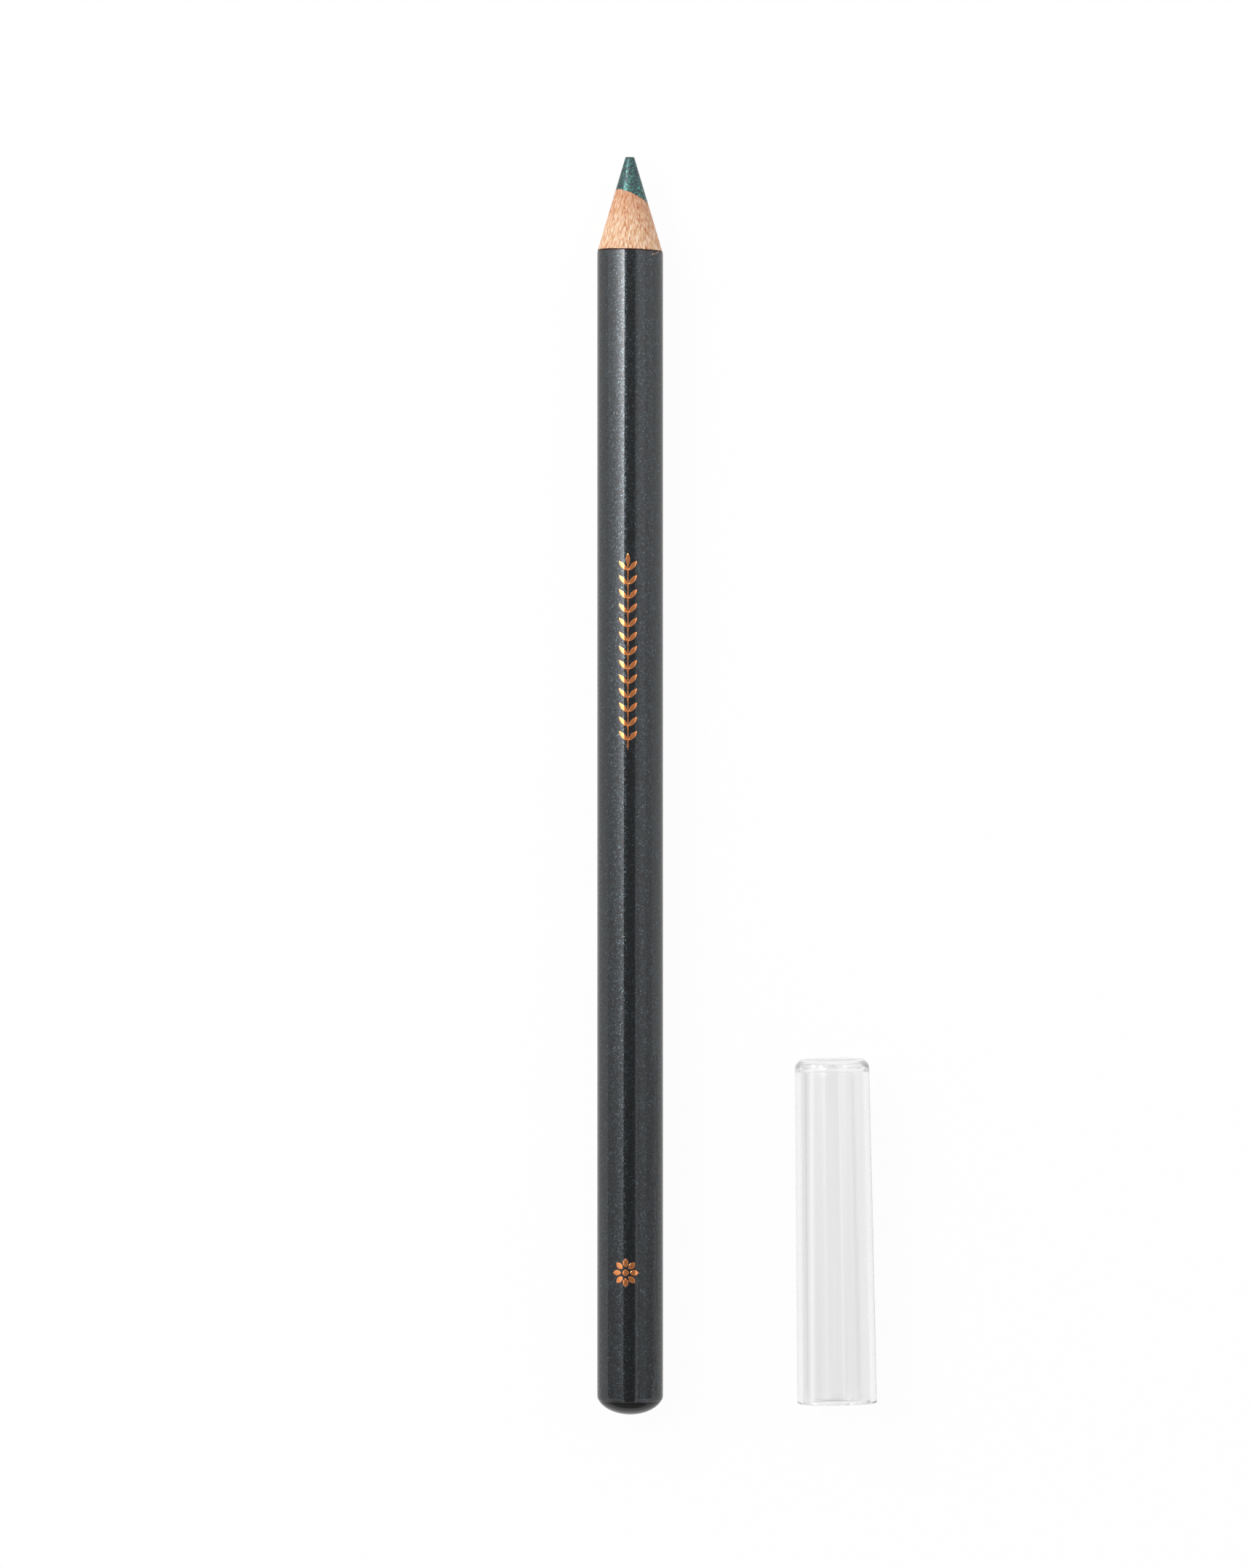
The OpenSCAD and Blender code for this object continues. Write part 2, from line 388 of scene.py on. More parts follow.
def coat_outline(angle):
    """The coat's closed outline in one plane through the axis, from the bevel to the tail and back."""
    knife = knife_edge_r(angle)
    shoulder = barrel_r - shoulder_wear * (1 + wander(angle, waves=5, seed=1.9))
    steps = [(r, cone_y(r, angle, blade_x)) for r in knife + (shoulder - knife) * bevel_shares]
    steps.append((barrel_r, cone_y(barrel_r, angle, blade_x) - shoulder_drop))
    steps += [(barrel_r, y) for y in np.linspace(cone_y(barrel_r) - barrel_start, tail_edge_y, barrel_points)]
    for turn in np.linspace(0, tuck_out, tail_steps + 1)[1:]:
        r = barrel_r - coat_edge_r * (1 - math.cos(turn))
        steps.append((r, tail_edge_y - coat_edge_r * math.sin(turn)))
    steps += [tail_point(turn) for turn in np.linspace(tuck_in, 0, tail_steps + 1)]
    steps.append((wood_r, cone_y(wood_r) - below_knife_edge))
    return [(axis_x + r * math.cos(angle), y, axis_z + r * math.sin(angle)) for r, y in steps]


# Metallic lacquer under clear gloss. Flakes of coated mica, each with its own tilt, sparkle green, blue
# and a little violet along the highlight, over a dark graphite ground. Real flakes are 0.03 mm across, too
# fine to show, and drawn coarser. Where it is cut it is matt, with a brown primer.
flake_size = 0.13 * mm
flake_lacquer, tree, shader = new_material(
    "Graphite_green_flake_lacquer", Metallic=1, Roughness=0.22, Specular_Tint=(0.25, 0.25, 0.25, 1),
    Coat_Weight=1, Coat_Roughness=0.05, Coat_IOR=1.5)
place = add_node(tree, "ShaderNodeTexCoord").outputs["Object"]
flakes = add_node(tree, "ShaderNodeTexVoronoi", {"Vector": place, "Scale": 1 / flake_size})
flake_pick = add_node(tree, "ShaderNodeSeparateColor", {0: flakes.outputs["Color"]})
flake_shade = add_node(tree, "ShaderNodeValToRGB", {"Fac": flake_pick.outputs[1]}, stops=[
    (0.0, colour("#1F2022")), (0.4, colour("#28292B")), (0.65, colour("#2B2E31")), (0.78, colour("#2D3437")),
    (0.88, colour("#344043")), (0.95, colour("#3A3D47")), (1.0, colour("#4C5C5F"))])
cut = add_node(tree, "ShaderNodeAttribute", attribute_name="cut").outputs["Fac"]
uncut = add_node(tree, "ShaderNodeMapRange", {"Value": cut, "To Min": 1, "To Max": 0.3})
matt = add_node(tree, "ShaderNodeMapRange", {"Value": cut, "To Min": 0.22, "To Max": 0.4})
primed = add_node(tree, "ShaderNodeMix", {
    "Factor": cut, 6: flake_shade.outputs["Color"], 7: colour("#2C120C")}, data_type="RGBA")
tree.links.new(primed.outputs[2], shader.inputs["Base Color"])
tree.links.new(uncut.outputs[0], shader.inputs["Coat Weight"])
tree.links.new(matt.outputs[0], shader.inputs["Roughness"])
tree.links.new(lean_flakes(tree, flakes, lean=0.07), shader.inputs["Normal"])

turns = np.linspace(0, 2 * math.pi, turn_steps + 1)[:-1]
loops = [coat_outline(a) for a in turns]
mesh = loop_mesh("lacquer_sleeve", loops, ring=True)
bare = np.zeros((len(loops), len(loops[0])))
bare[:, :bare_points] = 1
mesh.attributes.new("cut", "FLOAT", "POINT").data.foreach_set("value", bare.ravel())
finish_mesh(mesh, flake_lacquer, sharp=25)

# The bevel and its shoulder are shaded as part of the barrel, so that its highlight runs on to the cut.
radial = np.zeros((len(loops), len(loops[0]), 3))
for row, a in zip(radial, turns):
    row[:len(bevel_shares) + 1] = (math.cos(a), 0, math.sin(a))
mesh.normals_split_custom_set_from_vertices(radial.reshape(-1, 3))
place_piece("lacquer_sleeve", mesh, "lacquer_coat")


# Loose fibre
# A hair of cedar that the blade pulled off. It lies curled on the lacquer just below the cut wood.
hair_r = 0.02 * mm

# Each point is its turn from the top of the barrel in degrees, and its place along the pencil and its
# height over the lacquer in millimetres.
hair_points = [
    (60, 58.3, 0), (57.5, 58.22, 0.02), (54.5, 58.1, 0.02), (51, 58, 0.02), (48, 57.95, 0.02),
    (45.5, 57.97, 0.02), (43.5, 57.98, 0.02), (42, 57.9, 0.02), (42.4, 57.82, 0.03), (43.4, 57.86, 0.05)]
hair = bpy.data.curves.new("loose_fibre", "CURVE")
hair.dimensions = "3D"
hair.bevel_depth = hair_r
hair.bevel_resolution = 2
hair.use_fill_caps = True
hair.resolution_u = 6
line = hair.splines.new("BEZIER")
line.bezier_points.add(len(hair_points) - 1)
for point, (degrees, along, over) in zip(line.bezier_points, hair_points):
    turn = math.radians(degrees)
    r = barrel_r + over * mm
    point.co = (axis_x + r * math.sin(turn), along * mm, axis_z + r * math.cos(turn))
    point.handle_left_type = point.handle_right_type = "AUTO"
strand = bpy.data.objects.new("loose_fibre", hair)
bpy.context.scene.collection.objects.link(strand)
mesh = bpy.data.meshes.new_from_object(strand.evaluated_get(bpy.context.evaluated_depsgraph_get()))
bpy.data.objects.remove(strand)

# The hair is clean wood, so it counts as far from both stains.
unstained = np.full(len(mesh.vertices), 5.0)
for label in ("from_core", "from_lacquer"):
    mesh.attributes.new(label, "FLOAT", "POINT").data.foreach_set("value", unstained)
finish_mesh(mesh, cut_wood, sharp=60)
place_piece("loose_fibre", mesh)


# Dipped end
# A drop of thick gloss lacquer over the bare tail of the wood. The pencil is dipped point up, and the
# drop sets as a smooth low dome that laps on to the rounded edge.
drop_low, drop_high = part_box("dipped_end")
crown_y = drop_low.y
crown_high = 2.35 * mm
drop_seam_r = drop_high.x - axis_x
crown_r = drop_seam_r / math.sqrt(1 - (1 - (seam_y - crown_y) / crown_high) ** 2)
crown_turn = math.acos(1 - (seam_y - crown_y) / crown_high)
crown_steps = 48
lap_steps = 12
drop_turn_steps = 192
drop_turns = np.linspace(0, 2 * math.pi, drop_turn_steps + 1)[:-1]

steps = []
for turn in np.linspace(0, crown_turn, crown_steps + 1)[1:]:
    steps.append((crown_r * math.sin(turn), crown_y + crown_high * (1 - math.cos(turn))))
steps += [tail_point(turn) for turn in np.linspace(tuck_in, math.pi / 2, lap_steps + 1)]
mesh = loop_mesh("dipped_drop", [
    [(axis_x + r * math.cos(a), y, axis_z + r * math.sin(a)) for a in drop_turns] for r, y in steps])

# Black gloss lacquer. It is dark all through, and its smooth wet-looking skin shows the room as soft grey
# that grows lighter towards the rim.
cloud_size = 1.1 * mm
ripple_depth = 0.02 * mm
black_gloss, tree, shader = new_material("Black_dipped_gloss", Roughness=0.09, IOR=1.35)
place = add_node(tree, "ShaderNodeTexCoord").outputs["Object"]
clouds = add_node(tree, "ShaderNodeTexNoise", {"Vector": place, "Scale": 1 / cloud_size, "Detail": 2})
depth = add_node(tree, "ShaderNodeValToRGB", {"Fac": clouds.outputs["Fac"]}, stops=[
    (0.3, colour("#0A0A0A")), (0.7, colour("#121212"))])
tree.links.new(depth.outputs["Color"], shader.inputs["Base Color"])
ripple = add_node(tree, "ShaderNodeBump", {
    "Height": clouds.outputs["Fac"], "Strength": 0.1, "Distance": ripple_depth})
tree.links.new(ripple.outputs[0], shader.inputs["Normal"])
finish_mesh(mesh, black_gloss, sharp=50)
place_piece("dipped_drop", mesh, "dipped_end")


# Foil ornament
# Copper-coloured foil, hot-stamped into the lacquer: a leafy sprig half way down and a small rosette near
# the tail. Each leaf is pressed flat with a soft rim, and follows the round of the barrel.
foil_height = 0.03 * mm


def foil_leaves():
    """The stamping tree: a leaf on every point, turned and sized by it, and wrapped on the barrel."""
    group = bpy.data.node_groups.new("foil_leaves", "GeometryNodeTree")
    face = group.interface
    face.new_socket("Points", in_out="INPUT", socket_type="NodeSocketGeometry")
    for label in ("Barrel Radius", "Foil Height", "Axis X", "Axis Z"):
        face.new_socket(label, in_out="INPUT", socket_type="NodeSocketFloat")
    face.new_socket("Finish", in_out="INPUT", socket_type="NodeSocketMaterial")
    face.new_socket("Foil", in_out="OUTPUT", socket_type="NodeSocketGeometry")
    given = add_node(group, "NodeGroupInput").outputs
    ball = add_node(group, "GeometryNodeMeshUVSphere", {"Segments": 20, "Rings": 8, "Radius": 1})
    spot = add_node(group, "GeometryNodeInputPosition").outputs[0]

    # A ball is pinched to a point at both ends and pressed flat above and below.
    part = add_node(group, "ShaderNodeSeparateXYZ", {0: spot}).outputs
    squared = add_node(group, "ShaderNodeMath", {0: part["Y"], 1: part["Y"]}, operation="MULTIPLY")
    left = add_node(group, "ShaderNodeMath", {0: 1.0001, 1: squared.outputs[0]}, operation="SUBTRACT")
    pinch = add_node(group, "ShaderNodeMath", {0: left.outputs[0], 1: 0.35}, operation="POWER")
    wide = add_node(group, "ShaderNodeMath", {0: part["X"], 1: pinch.outputs[0]}, operation="MULTIPLY")
    press = add_node(group, "ShaderNodeClamp", {"Value": part["Z"], "Min": -0.45, "Max": 0.45})
    leaf_spot = add_node(group, "ShaderNodeCombineXYZ", {
        "X": wide.outputs[0], "Y": part["Y"], "Z": press.outputs[0]})
    leaf = add_node(group, "GeometryNodeSetPosition", {
        "Geometry": ball.outputs[0], "Position": leaf_spot.outputs[0]})

    size = add_node(group, "GeometryNodeInputNamedAttribute", {"Name": "size"}, data_type="FLOAT_VECTOR")
    turn = add_node(group, "GeometryNodeInputNamedAttribute", {"Name": "turn"}, data_type="FLOAT_VECTOR")
    stamped = add_node(group, "GeometryNodeInstanceOnPoints", {
        "Points": given["Points"], "Instance": leaf.outputs[0],
        "Rotation": turn.outputs[0], "Scale": size.outputs[0]})
    real = add_node(group, "GeometryNodeRealizeInstances", {0: stamped.outputs[0]})

    # The flat stamping is bent round the barrel: its place across becomes an angle, its height a radius.
    part = add_node(group, "ShaderNodeSeparateXYZ", {0: spot}).outputs
    angle = add_node(group, "ShaderNodeMath", {0: part["X"], 1: given["Barrel Radius"]}, operation="DIVIDE")
    lift = add_node(group, "ShaderNodeMath", {
        0: part["Z"], 1: given["Foil Height"], 2: given["Barrel Radius"]}, operation="MULTIPLY_ADD")
    side = add_node(group, "ShaderNodeMath", {0: angle.outputs[0]}, operation="SINE")
    up = add_node(group, "ShaderNodeMath", {0: angle.outputs[0]}, operation="COSINE")
    x = add_node(group, "ShaderNodeMath", {
        0: side.outputs[0], 1: lift.outputs[0], 2: given["Axis X"]}, operation="MULTIPLY_ADD")
    z = add_node(group, "ShaderNodeMath", {
        0: up.outputs[0], 1: lift.outputs[0], 2: given["Axis Z"]}, operation="MULTIPLY_ADD")
    round_spot = add_node(group, "ShaderNodeCombineXYZ", {
        "X": x.outputs[0], "Y": part["Y"], "Z": z.outputs[0]})
    wrapped = add_node(group, "GeometryNodeSetPosition", {
        "Geometry": real.outputs[0], "Position": round_spot.outputs[0]})
    done = add_node(group, "GeometryNodeSetMaterial", {
        "Geometry": wrapped.outputs[0], "Material": given["Finish"]})
    add_node(group, "NodeGroupOutput", {"Foil": done.outputs[0]})
    return group


def run_tree(name, mesh, group, inputs):
    """Runs a Geometry Nodes tree on a mesh, and returns the result as a plain mesh."""
    base = bpy.data.objects.new(name, mesh)
    bpy.context.scene.collection.objects.link(base)
    run = base.modifiers.new(group.name, "NODES")
    run.node_group = group
    for item in group.interface.items_tree:
        if item.in_out == "INPUT" and item.name in inputs:
            run[item.identifier] = inputs[item.name]
    ready = base.evaluated_get(bpy.context.evaluated_depsgraph_get())
    plain = bpy.data.meshes.new_from_object(ready)
    base.modifiers.clear()
    bpy.data.objects.remove(base)
    plain.name = name
    return plain


# Copper hot-stamping foil. The bright metal skin flashes almost white where it meets the light and
# stays deep orange beside it.
dent_size = 0.2 * mm
dent_depth = 0.01 * mm
copper_foil, tree, shader = new_material(
    "Copper_stamping_foil", Metallic=1, Roughness=0.13, Coat_Weight=1, Coat_Roughness=0.06, Coat_IOR=1.6)
place = add_node(tree, "ShaderNodeTexCoord").outputs["Object"]
press_marks = add_node(tree, "ShaderNodeTexNoise", {"Vector": place, "Scale": 1 / dent_size, "Detail": 2})
foil_shade = add_node(tree, "ShaderNodeValToRGB", {"Fac": press_marks.outputs["Fac"]}, stops=[
    (0.35, colour("#FA8E46")), (0.65, colour("#FFA45C"))])
tree.links.new(foil_shade.outputs["Color"], shader.inputs["Base Color"])
dents = add_node(tree, "ShaderNodeBump", {
    "Height": press_marks.outputs["Fac"], "Strength": 0.15, "Distance": dent_depth})
tree.links.new(dents.outputs[0], shader.inputs["Normal"])

# Each mark has a middle and a list of leaves, and each leaf is (across, along, half width, half length,
# turn). All are in millimetres and degrees. The sprig has pairs of leaves on a stalk made of thin leaves.
sprig_middle = (-0.24, 14.62)
pair_count = 13
lowest_pair = -9.6
pairs_span = 18.5
sprig = []
for i in range(pair_count):
    y = lowest_pair + pairs_span * i / (pair_count - 1)
    sprig += [(0.54, y + 0.42, 0.24, 0.68, -42), (-0.54, y + 0.42, 0.24, 0.68, 42), (0, y, 0.1, 1.0, 0)]
top_leaf = (0, 10.0, 0.22, 0.7, 0)
stalk_foot = (0, -10.15, 0.1, 0.55, 0)
sprig += [top_leaf, stalk_foot]

rosette_middle = (-0.5, -53.0)
petal_ring = (0.96, 1.07)
petal_count = 8
rosette = [(0, 0, 0.34, 0.36, 0)]
for i in range(petal_count):
    degrees = 360 * i / petal_count
    way = math.radians(degrees)
    rosette.append((petal_ring[0] * math.sin(way), petal_ring[1] * math.cos(way), 0.3, 0.47, -degrees))

stamping = foil_leaves()
for name, middle, leaves in (("foil_sprig", sprig_middle, sprig), ("foil_rosette", rosette_middle, rosette)):
    points = bpy.data.meshes.new(name + "_points")
    points.from_pydata([((x + middle[0]) * mm, (y + middle[1]) * mm, 0) for x, y, w, l, a in leaves], [], [])
    sizes = np.array([(w * mm, l * mm, 1) for x, y, w, l, a in leaves]).ravel()
    leaf_turns = np.array([(0, 0, math.radians(a)) for x, y, w, l, a in leaves]).ravel()
    points.attributes.new("size", "FLOAT_VECTOR", "POINT").data.foreach_set("vector", sizes)
    points.attributes.new("turn", "FLOAT_VECTOR", "POINT").data.foreach_set("vector", leaf_turns)
    mesh = run_tree(name, points, stamping, {
        "Barrel Radius": barrel_r, "Foil Height": foil_height, "Axis X": axis_x, "Axis Z": axis_z,
        "Finish": copper_foil})
    finish_mesh(mesh, copper_foil, sharp=20)
    place_piece(name, mesh)


# Clear cap
# One shell of clear hard plastic, moulded with a taper, a thicker closed end and a rounded rim. It is
# pulled off the point and lies on its side, so its tapered wall touches the ground all along.
cap_length = 37.6 * mm
cap_end_r = 4.05 * mm
cap_mouth_r = 4.3575 * mm
cap_wall = 0.64 * mm
cap_floor = 1 * mm
cap_corner_r = 1.1 * mm
cap_inner_r = 0.6 * mm
cap_rim_r = 0.15 * mm
cap_lead_in = 0.22 * mm
cap_taper = math.atan((cap_mouth_r - cap_end_r) / cap_length)
cap_lean = math.radians(0.85)
cap_end = Vector((10.3681, -29.8, 0)) * mm
cap_end.z = cap_end_r * math.cos(cap_taper)


def cap_shell():
    """The moulding tree: an outline with filleted corners, swept round the cap's axis."""
    group = bpy.data.node_groups.new("cap_shell", "GeometryNodeTree")
    face = group.interface
    labels = (
        "Length", "End Radius", "Mouth Radius", "Wall", "Floor", "Corner", "Inner Corner", "Rim", "Lead-in")
    for label in labels:
        face.new_socket(label, in_out="INPUT", socket_type="NodeSocketFloat")
    face.new_socket("Finish", in_out="INPUT", socket_type="NodeSocketMaterial")
    face.new_socket("Shell", in_out="OUTPUT", socket_type="NodeSocketGeometry")
    given = add_node(group, "NodeGroupInput").outputs
    length, end_r, mouth_r, wall, floor, corner, inner_corner, rim, lead_in = [
        given[label] for label in labels]

    # The tapered walls are drawn as (radius, height) from the closed end to the mouth and back inside.
    grow = add_node(group, "ShaderNodeMath", {0: mouth_r, 1: end_r}, operation="SUBTRACT").outputs[0]
    slope = add_node(group, "ShaderNodeMath", {0: grow, 1: length}, operation="DIVIDE").outputs[0]
    mouth_in = add_node(group, "ShaderNodeMath", {0: mouth_r, 1: wall}, operation="SUBTRACT").outputs[0]
    end_in = add_node(group, "ShaderNodeMath", {0: end_r, 1: wall}, operation="SUBTRACT").outputs[0]
    floor_in = add_node(group, "ShaderNodeMath", {
        0: slope, 1: floor, 2: end_in}, operation="MULTIPLY_ADD").outputs[0]
    lead_out = add_node(group, "ShaderNodeMath", {0: mouth_in, 1: lead_in}, operation="ADD").outputs[0]
    lead_down = add_node(group, "ShaderNodeMath", {0: length, 1: lead_in}, operation="SUBTRACT").outputs[0]
    near_end = add_node(group, "ShaderNodeMath", {0: floor, 1: corner}, operation="ADD").outputs[0]
    near_mouth = add_node(group, "ShaderNodeMath", {0: length, 1: corner}, operation="SUBTRACT").outputs[0]
    outer_low, inner_low, outer_high, inner_high = [
        add_node(group, "ShaderNodeMath", {
            0: slope, 1: height, 2: start}, operation="MULTIPLY_ADD").outputs[0]
        for height in (near_end, near_mouth) for start in (end_r, end_in)]
    spots = [(0, 0), (end_r, 0), (outer_low, near_end), (outer_high, near_mouth), (mouth_r, length),
             (lead_out, length), (mouth_in, lead_down), (inner_high, near_mouth), (inner_low, near_end),
             (floor_in, floor), (0, floor)]

    # Each point of a line takes its spot and its fillet by number. A switch's first socket is that number.
    index = add_node(group, "GeometryNodeInputIndex").outputs[0]
    corners = add_node(group, "GeometryNodeIndexSwitch", {"Index": index}, data_type="VECTOR")
    fillets = add_node(group, "GeometryNodeIndexSwitch", {"Index": index}, data_type="FLOAT")
    for switch in (corners, fillets):
        while len(switch.index_switch_items) < len(spots):
            switch.index_switch_items.new()
    for k, (r, h) in enumerate(spots):
        spot = add_node(group, "ShaderNodeCombineXYZ", {"X": r, "Y": h})
        group.links.new(spot.outputs[0], corners.inputs[k + 1])
    for k, fillet in ((1, corner), (4, rim), (9, inner_corner)):
        group.links.new(fillet, fillets.inputs[k + 1])
    line = add_node(group, "GeometryNodeMeshLine", {"Count": len(spots)})
    outline = add_node(group, "GeometryNodeMeshToCurve", {"Mesh": line.outputs[0]})
    shaped = add_node(group, "GeometryNodeSetPosition", {
        "Geometry": outline.outputs[0], "Position": corners.outputs[0]})
    rounded = add_node(group, "GeometryNodeFilletCurve", {
        "Curve": shaped.outputs[0], "Count": 12, "Radius": fillets.outputs[0]}, mode="POLY")

    # The outline is swept round a small circle, and moved in by its radius so that it closes on the axis.
    circle_r = 1 * mm
    inward = add_node(group, "GeometryNodeTransform", {
        "Geometry": rounded.outputs[0], "Translation": (-circle_r, 0, 0)})
    circle = add_node(group, "GeometryNodeCurvePrimitiveCircle", {"Resolution": 96, "Radius": circle_r})
    upright = add_node(group, "GeometryNodeSetCurveNormal", {"Curve": circle.outputs[0]}, mode="Z_UP")
    swept = add_node(group, "GeometryNodeCurveToMesh", {
        "Curve": upright.outputs[0], "Profile Curve": inward.outputs[0]})
    turned = add_node(group, "GeometryNodeTransform", {
        "Geometry": swept.outputs[0], "Rotation": (math.pi, 0, 0)})
    joined = add_node(group, "GeometryNodeMergeByDistance", {
        "Geometry": turned.outputs[0], "Distance": 0.001 * mm})
    real = add_node(group, "GeometryNodeRealizeInstances", {0: joined.outputs[0]})
    done = add_node(group, "GeometryNodeSetMaterial", {
        "Geometry": real.outputs[0], "Material": given["Finish"]})
    add_node(group, "NodeGroupOutput", {"Shell": done.outputs[0]})
    return group


# Moulded clear polystyrene. It is see-through with a grey cast, faint streaks run along its walls, a painted
# highlight runs as a white line along one wall, its edges gather light and shade, and a painted contact
# shadow greys its lip where it rests.
flow_width = 1.1 * mm
painted_highlight_x = 8.1 * mm
lip_shadow_low = 0.6 * mm
lip_shadow_high = 1.6 * mm
lip_y = -67.36 * mm
lip_inner_y = -67.14 * mm
clear_styrene, tree, shader = new_material(
    "Clear_moulded_polystyrene", Roughness=0.05, IOR=1.59, Transmission_Weight=1)
place = add_node(tree, "ShaderNodeTexCoord").outputs["Object"]
along = add_node(tree, "ShaderNodeMapping", {"Vector": place, "Scale": (1, 0.02, 1)}).outputs[0]
flow = add_node(tree, "ShaderNodeTexNoise", {"Vector": along, "Scale": 1 / flow_width, "Detail": 2})
flow_tint = add_node(tree, "ShaderNodeValToRGB", {"Fac": flow.outputs["Fac"]}, stops=[
    (0.35, colour("#F3F3F3")), (0.65, colour("#F8F8F8"))])
part = add_node(tree, "ShaderNodeSeparateXYZ", {0: place}).outputs
# The colour turns white in a narrow stripe along one wall at this place across: a painted highlight.
from_painted_highlight = add_node(tree, "ShaderNodeMath", {0: part["X"], 1: painted_highlight_x}, operation="SUBTRACT")
painted_highlight_off = add_node(tree, "ShaderNodeMath", {0: from_painted_highlight.outputs[0]}, operation="ABSOLUTE")
painted_highlight_share = add_node(tree, "ShaderNodeMapRange", {
    "Value": painted_highlight_off.outputs[0], "From Min": 0.15 * mm, "From Max": 0.3 * mm, "To Min": 0.8, "To Max": 0})
with_painted_highlight = add_node(tree, "ShaderNodeMix", {
    "Factor": painted_highlight_share.outputs[0], 6: flow_tint.outputs["Color"], 7: colour("#FFFFFF")}, data_type="RGBA")
# Grey on the lower part of the lip, where the cap rests on the paper, is a painted contact shadow.
low = add_node(tree, "ShaderNodeMapRange", {
    "Value": part["Z"], "From Min": lip_shadow_low, "From Max": lip_shadow_high, "To Min": 0.7, "To Max": 0})
at_lip = add_node(tree, "ShaderNodeMapRange", {
    "Value": part["Y"], "From Min": lip_y, "From Max": lip_inner_y, "To Min": 1, "To Max": 0})
painted_shadow_share = add_node(tree, "ShaderNodeMath", {
    0: low.outputs[0], 1: at_lip.outputs[0]}, operation="MULTIPLY")
lip_shadowed = add_node(tree, "ShaderNodeMix", {
    "Factor": painted_shadow_share.outputs[0], 6: with_painted_highlight.outputs[2], 7: colour("#9A9CA0")}, data_type="RGBA")
tree.links.new(lip_shadowed.outputs[2], shader.inputs["Base Color"])

mesh = run_tree("cap_tube", bpy.data.meshes.new("cap_outline"), cap_shell(), {
    "Length": cap_length, "End Radius": cap_end_r, "Mouth Radius": cap_mouth_r,
    "Wall": cap_wall / math.cos(cap_taper), "Floor": cap_floor, "Corner": cap_corner_r,
    "Inner Corner": cap_inner_r, "Rim": cap_rim_r, "Lead-in": cap_lead_in, "Finish": clear_styrene})
mesh.transform(Matrix.Translation(cap_end) @ Matrix.Rotation(cap_lean, 4, "Z")
               @ Matrix.Rotation(math.pi / 2 - cap_taper, 4, "X"))
finish_mesh(mesh, clear_styrene, sharp=30)
place_piece("cap_tube", mesh, "clear_cap")

# Light crosses many walls inside the closed end, and with fewer bounces its corners would turn black.
bounces = 128
bpy.context.scene.cycles.max_bounces = bounces
bpy.context.scene.cycles.glossy_bounces = bounces
bpy.context.scene.cycles.transmission_bounces = bounces


# Floor, light panels and camera
# The set lies on white paper and is seen from straight above. A long softbox on the left and a plain
# panel on the right light it, and a grey card hangs over it round the camera. All places are in metres.
def studio_material(name):
    """A material for a sheet of the studio, and its tree with nothing in it yet."""
    material = bpy.data.materials.new(name)
    material.use_nodes = True
    material.node_tree.nodes.clear()
    return material, material.node_tree


def stage_quad(name, corners, material):
    """One flat sheet of the studio, which isn't part of the object."""
    mesh = bpy.data.meshes.new(name)
    mesh.from_pydata(corners, [], [tuple(range(len(corners)))])
    mesh.materials.append(material)
    sheet = bpy.data.objects.new(name, mesh)
    bpy.context.scene.collection.objects.link(sheet)
    return sheet


def seen_white(tree, glossy):
    """How white the background itself is shown: to the camera, through glass, and less in gloss."""
    path = add_node(tree, "ShaderNodeLightPath").outputs
    gloss = add_node(tree, "ShaderNodeMath", {0: path["Is Glossy Ray"], 1: glossy}, operation="MULTIPLY")
    both = add_node(tree, "ShaderNodeMath", {
        0: path["Is Camera Ray"], 1: gloss.outputs[0]}, operation="MAXIMUM")
    return add_node(tree, "ShaderNodeMath", {
        0: both.outputs[0], 1: path["Is Transmission Ray"]}, operation="MAXIMUM").outputs[0]


# Most of what is seen of the paper is its own even glow. The rest is matt white, and takes the shadow.
floor_reach = 2
paper_glow = 0.96
paper, tree = studio_material("White_paper_floor")
matt = add_node(tree, "ShaderNodeBsdfDiffuse", {"Color": colour("#F4F4F4")})
glow = add_node(tree, "ShaderNodeEmission", {"Strength": 1})
share = add_node(tree, "ShaderNodeMath", {
    0: seen_white(tree, glossy=0.35), 1: paper_glow}, operation="MULTIPLY")
both = add_node(tree, "ShaderNodeMixShader", {0: share.outputs[0], 1: matt.outputs[0], 2: glow.outputs[0]})
add_node(tree, "ShaderNodeOutputMaterial", {"Surface": both.outputs[0]})
stage_quad("paper_floor", [
    (-floor_reach, -floor_reach, 0), (floor_reach, -floor_reach, 0),
    (floor_reach, floor_reach, 0), (-floor_reach, floor_reach, 0)], paper)

# The softbox is strongest at its inner edge and towards the point, and fades along the pencil. Lean is how
# far a spot of it stands from straight above the pencil, in radians.
hot_level = 1.75
hot_start = 1.85
hot_per_radian = 3.8
hot_per_metre = 13.1
even_level = 0.9
even_per_metre = 2.73
brightest_y = 0.13
softbox, tree = studio_material("Softbox_cloth")
place = add_node(tree, "ShaderNodeTexCoord").outputs["Object"]
part = add_node(tree, "ShaderNodeSeparateXYZ", {0: place}).outputs
lean = add_node(tree, "ShaderNodeMath", {0: part["X"], 1: part["Z"]}, operation="ARCTAN2")
inner = add_node(tree, "ShaderNodeMath", {
    0: lean.outputs[0], 1: hot_per_radian, 2: hot_start}, operation="MULTIPLY_ADD")
fore = add_node(tree, "ShaderNodeMath", {0: part["Y"], 1: brightest_y}, operation="MINIMUM")
fade = add_node(tree, "ShaderNodeMath", {
    0: fore.outputs[0], 1: hot_per_metre, 2: inner.outputs[0]}, operation="MULTIPLY_ADD")
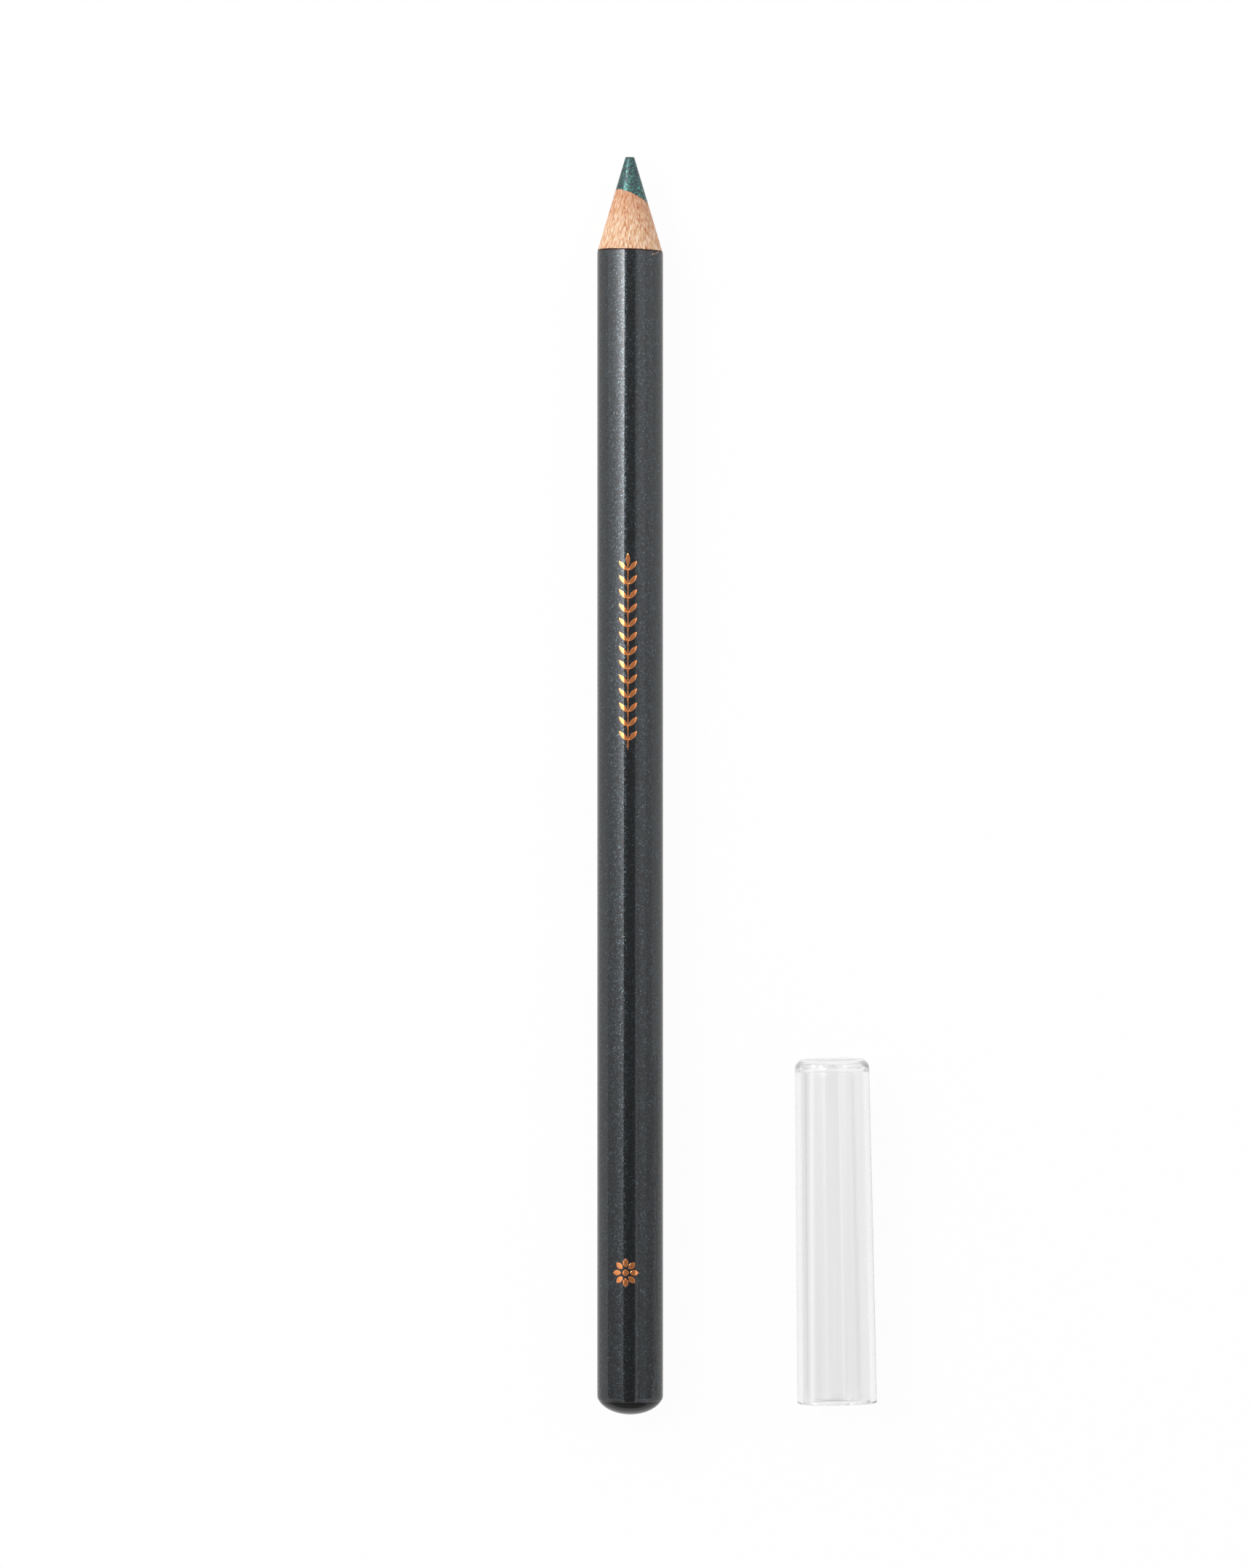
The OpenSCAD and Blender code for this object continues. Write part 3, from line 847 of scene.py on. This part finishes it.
hot = add_node(tree, "ShaderNodeMath", {0: fade.outputs[0]}, operation="EXPONENT")
even = add_node(tree, "ShaderNodeMath", {
    0: fore.outputs[0], 1: even_per_metre, 2: even_level}, operation="MULTIPLY_ADD")
level = add_node(tree, "ShaderNodeMath", {
    0: hot.outputs[0], 1: hot_level, 2: even.outputs[0]}, operation="MULTIPLY_ADD")
glow = add_node(tree, "ShaderNodeEmission", {"Strength": level.outputs[0]})
add_node(tree, "ShaderNodeOutputMaterial", {"Surface": glow.outputs[0]})
left = stage_quad("left_softbox", [
    (-0.37, -0.26, 0.7), (-0.85, -0.26, 0.09), (-0.85, 0.2, 0.09), (-0.232, 0.2, 0.7)], softbox)

# The panel is even across, a little weaker at both edges, and fades along the pencil.
panel_level = 1.08
panel_per_metre = 2.9
edge_slant = 0.5
panel, tree = studio_material("Right_panel_cloth")
place = add_node(tree, "ShaderNodeTexCoord").outputs["Object"]
part = add_node(tree, "ShaderNodeSeparateXYZ", {0: place}).outputs
even = add_node(tree, "ShaderNodeMath", {
    0: part["Y"], 1: panel_per_metre, 2: panel_level}, operation="MULTIPLY_ADD")
lean = add_node(tree, "ShaderNodeMath", {0: part["X"], 1: part["Z"]}, operation="ARCTAN2")
slant = add_node(tree, "ShaderNodeMath", {
    0: part["Y"], 1: edge_slant, 2: lean.outputs[0]}, operation="MULTIPLY_ADD")
spread = add_node(tree, "ShaderNodeValToRGB", {"Fac": slant.outputs[0]}, stops=[
    (0.34, (0.6, 0.6, 0.6, 1)), (0.55, (1, 1, 1, 1)), (0.9, (1, 1, 1, 1)), (1.0, (0.8, 0.8, 0.8, 1))])
level = add_node(tree, "ShaderNodeMath", {
    0: even.outputs[0], 1: spread.outputs["Color"]}, operation="MULTIPLY")
glow = add_node(tree, "ShaderNodeEmission", {"Strength": level.outputs[0]})
add_node(tree, "ShaderNodeOutputMaterial", {"Surface": glow.outputs[0]})
right = stage_quad("right_panel", [
    (0.4, -0.26, 0.7), (0.215, 0.22, 0.7), (0.85, 0.22, 0.09), (0.85, -0.26, 0.09)], panel)

# A narrow strip low over the point gives the core its band of glitter.
strip_level = 17
strip, tree = studio_material("Strip_light")
glow = add_node(tree, "ShaderNodeEmission", {"Strength": strip_level})
add_node(tree, "ShaderNodeOutputMaterial", {"Surface": glow.outputs[0]})
fore_strip = stage_quad("fore_strip", [
    (-0.46, 0.36, 0.62), (-0.56, 0.36, 0.52), (-0.56, 0.7, 0.52), (-0.46, 0.7, 0.62)], strip)

# The card round the camera gives the barrel its dark middle stripe, which grows darker towards the tail.
card_level = 0.338
card_per_metre = 0.62
darkest_y = -0.13
card, tree = studio_material("Grey_card")
place = add_node(tree, "ShaderNodeTexCoord").outputs["Object"]
part = add_node(tree, "ShaderNodeSeparateXYZ", {0: place}).outputs
fore = add_node(tree, "ShaderNodeMath", {0: part["Y"], 1: darkest_y}, operation="MAXIMUM")
even = add_node(tree, "ShaderNodeMath", {
    0: fore.outputs[0], 1: card_per_metre, 2: card_level}, operation="MULTIPLY_ADD")
glow = add_node(tree, "ShaderNodeEmission", {"Strength": even.outputs[0]})
add_node(tree, "ShaderNodeOutputMaterial", {"Surface": glow.outputs[0]})
over = stage_quad("grey_card", [
    (-0.36, -1.3, 0.8), (0.25, -1.3, 0.8), (0.25, 0.2, 0.8), (-0.36, 0.2, 0.8)], card)
over.visible_transmission = False

# A small grey flag stands just beyond the tail, and shows only as the dark band in the black drop.
flag_level = 0.45
flag, tree = studio_material("Grey_flag")
glow = add_node(tree, "ShaderNodeEmission", {"Strength": flag_level})
add_node(tree, "ShaderNodeOutputMaterial", {"Surface": glow.outputs[0]})
tail_flag = stage_quad("tail_flag", [
    (-0.04, -0.0887, 0), (0.004, -0.0887, 0), (0.004, -0.0887, 0.022), (-0.04, -0.0887, 0.022)], flag)
tail_flag.visible_diffuse = False
tail_flag.visible_transmission = False
tail_flag.visible_shadow = False
for sheet in (left, right, fore_strip, over, tail_flag):
    sheet.visible_camera = False

# The room is white where it is seen, and lights the object a little less.
room_level = 0.75
world = bpy.data.worlds.new("Studio_room")
world.use_nodes = True
bpy.context.scene.world = world
tree = world.node_tree
background = tree.nodes["Background"]
background.inputs["Color"].default_value = (1, 1, 1, 1)
room = add_node(tree, "ShaderNodeMapRange", {
    "Value": seen_white(tree, glossy=1), "To Min": room_level, "To Max": 1})
tree.links.new(room.outputs[0], background.inputs["Strength"])

# A long lens looks straight down. The photo's frame is 2156 pixels high, and the lens is 10,000 of them.
photo_high = 2156
lens_pixels = 10000
sensor_high = 24
camera = bpy.data.objects.new("camera", bpy.data.cameras.new("camera"))
bpy.context.scene.collection.objects.link(camera)
camera.data.sensor_fit = "VERTICAL"
camera.data.sensor_height = sensor_high
camera.data.lens = sensor_high * lens_pixels / photo_high
camera.location = (axis_x - 0.393 * mm, 0.19 * mm, 798.5 * mm)
bpy.context.scene.camera = camera
